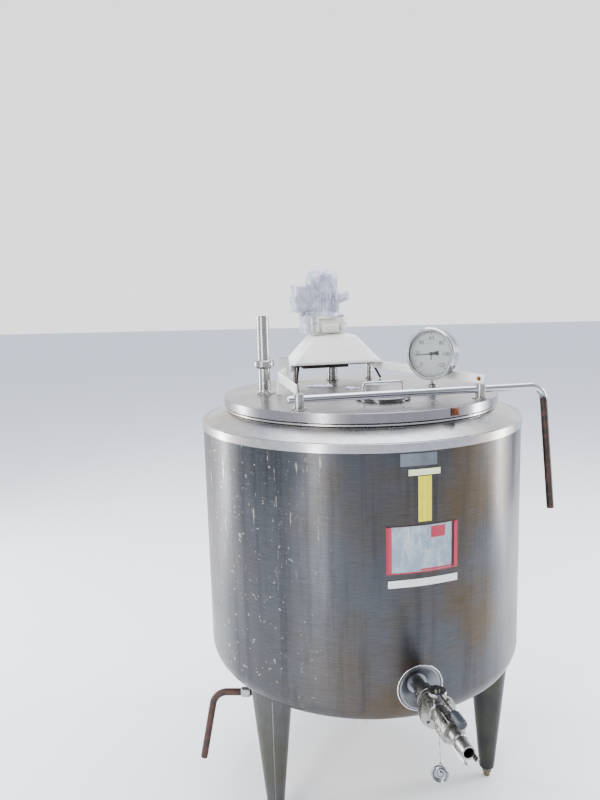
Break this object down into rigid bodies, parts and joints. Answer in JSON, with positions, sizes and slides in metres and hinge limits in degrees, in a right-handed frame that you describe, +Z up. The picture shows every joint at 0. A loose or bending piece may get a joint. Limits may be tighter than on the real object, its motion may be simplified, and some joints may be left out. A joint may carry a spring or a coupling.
{
  "type": "bulk milk tank",
  "caption": "Upright jacketed milk tank on three tapered legs, with an agitator drive, dial thermometer and swinging bar on its lid, and a levered outlet valve.",
  "frame": {"origin": "on the floor, on the upright axis of the tank's cylinder", "axes": "+Z up along the tank's axis; -Y is the front, where the document holder and the outlet valve are; +X is to the right seen from the front"},
  "size_m": [1.1023, 1.2545, 1.666],
  "materials": {
    "shell_steel": "brushed sheet, satin",
    "lid_steel": "brushed sheet, reflective",
    "vessel_steel": "milk-side sheet, fine grain",
    "leg_steel": "rolled sheet cone, satin and stained",
    "fitting_steel": "turned dairy fitting, satin",
    "bright_steel": "polished pipe",
    "rusty_pipe": "pipe with brown rust and old paint",
    "galvanised": "galvanised fitting",
    "white_paint": "white paint, chipped, with rust spots",
    "gear_paint": "off-white paint on a casting",
    "motor_paint": "blue-grey paint on a finned casting",
    "terminal_plastic": "off-white moulded box",
    "clear_film": "crumpled clear stretch film",
    "seal_rubber": "black food-grade rubber",
    "seat_rubber": "grey-black rubber",
    "grip_rubber": "dark blue-black grip",
    "foam": "rigid insulating foam",
    "bolt_steel": "plated steel with rust",
    "dial_enamel": "white dial with black scale",
    "pointer_black": "black paint",
    "dial_glass": "clear flat glass",
    "cord_fibre": "grey-white string",
    "holder_red": "red painted backing",
    "holder_grey": "scratched grey plastic pocket"
  },
  "bodies": {
    "tank": {"inner_vessel": "vessel_steel", "jacket_wall": "vessel_steel", "insulation": "foam", "outer_shell": "shell_steel", "shoulder_cone": "lid_steel", "neck_ring": "lid_steel", "leg_right": "leg_steel", "leg_left": "leg_steel", "leg_rear": "leg_steel", "feet": "leg_steel", "outlet_dish": "shell_steel", "outlet_neck": "fitting_steel", "valve_inlet_half": "fitting_steel", "valve_outlet_half": "fitting_steel", "valve_seat": "seat_rubber", "valve_bolts": "bolt_steel", "union_nut": "fitting_steel", "outlet_spigot": "fitting_steel", "cap_cord": "cord_fibre", "blank_cap": "bright_steel", "drain_pipe": "rusty_pipe", "drain_socket": "galvanised", "jacket_stub": "galvanised", "holder_backing": "holder_red", "holder_pocket": "holder_grey"},
    "valve": {"valve_disc": "fitting_steel", "valve_lever": "fitting_steel", "lever_grip": "grip_rubber"},
    "lid": {"lid_plate": "lid_steel", "lid_seal": "seal_rubber", "fill_pipe": "fitting_steel", "fill_union": "fitting_steel", "fill_stub": "fitting_steel", "bar_lugs": "fitting_steel", "arm_left": "white_paint", "arm_right": "white_paint", "arm_bolts": "bolt_steel", "motor_posts": "fitting_steel", "bridge_plate": "rusty_pipe", "shaft_housing": "fitting_steel", "lantern": "white_paint", "hood": "white_paint", "gearbox": "gear_paint", "gearbox_bolts": "bolt_steel", "motor_body": "motor_paint", "fan_cover": "motor_paint", "terminal_box": "terminal_plastic", "motor_wrap": "clear_film", "thermo_well": "fitting_steel", "thermo_case": "bright_steel", "thermo_dial": "dial_enamel", "thermo_glass": "dial_glass", "thermo_bezel": "bright_steel"},
    "pointer": {"thermo_pointer": "pointer_black"},
    "hatch": {"hatch_cover": "lid_steel", "hatch_handle": "bright_steel"},
    "bar": {"swing_bar": "bright_steel"},
    "agitator": {"agitator_shaft": "fitting_steel", "impeller": "vessel_steel"}
  },
  "joints": [
    {"name": "lid_lift", "type": "slide", "parent": "tank", "child": "lid", "axis": [0, 0, 1], "range_m": [0, 0.75]},
    {"name": "agitator_spin", "type": "hinge", "parent": "lid", "child": "agitator", "pos_m": [-0.095, 0.29, 1], "axis": [0, 0, 1], "continuous": true},
    {"name": "pointer_turn", "type": "hinge", "parent": "lid", "child": "pointer", "pos_m": [0.224, -0.076, 1.401], "axis": [-0.5373, -0.8434, 0], "range_deg": [-232, 38]},
    {"name": "hatch_lift", "type": "slide", "parent": "lid", "child": "hatch", "axis": [0, 0, 1], "range_m": [0, 0.12]},
    {"name": "bar_swing", "type": "hinge", "parent": "lid", "child": "bar", "pos_m": [-0.16392, -0.34411, 1.307], "axis": [-0.9593, -0.2823, 0], "range_deg": [-12, 175]},
    {"name": "valve_lever_turn", "type": "hinge", "parent": "tank", "child": "valve", "pos_m": [0.18541, -0.57063, 0.542], "axis": [0, 0, 1], "range_deg": [0, 90]}
  ]
}
